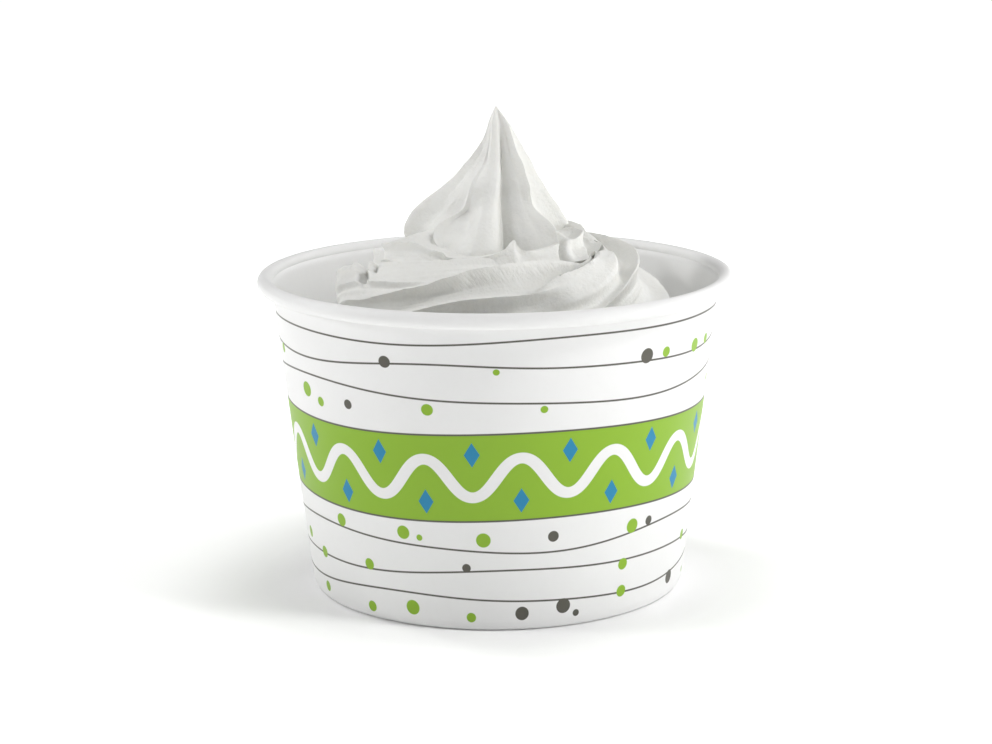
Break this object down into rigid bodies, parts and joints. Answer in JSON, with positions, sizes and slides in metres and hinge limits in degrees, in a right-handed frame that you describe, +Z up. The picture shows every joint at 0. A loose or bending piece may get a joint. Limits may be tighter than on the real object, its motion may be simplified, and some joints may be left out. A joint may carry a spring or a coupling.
{
  "type": "frozen yogurt cup",
  "caption": "Soft-serve frozen yogurt swirl with a drawn-up peak, standing in a round tapered paper cup with a rolled rim and a recessed base.",
  "frame": {"origin": "centre of the foot ring, on the surface that the cup stands on", "axes": "+Z up out of the cup's mouth, -Y towards the side that is shown as the front, +X to its right"},
  "size_m": [0.098, 0.098, 0.0991],
  "materials": {
    "printed_paper": "coated white paper board with a simple green, blue and grey print",
    "base_board": "coated white paper board, plain",
    "yogurt": "off-white soft serve, matte and slightly translucent"
  },
  "bodies": {
    "root": {"cup_side": "printed_paper", "cup_base": "base_board", "yogurt": "yogurt"}
  },
  "joints": []
}
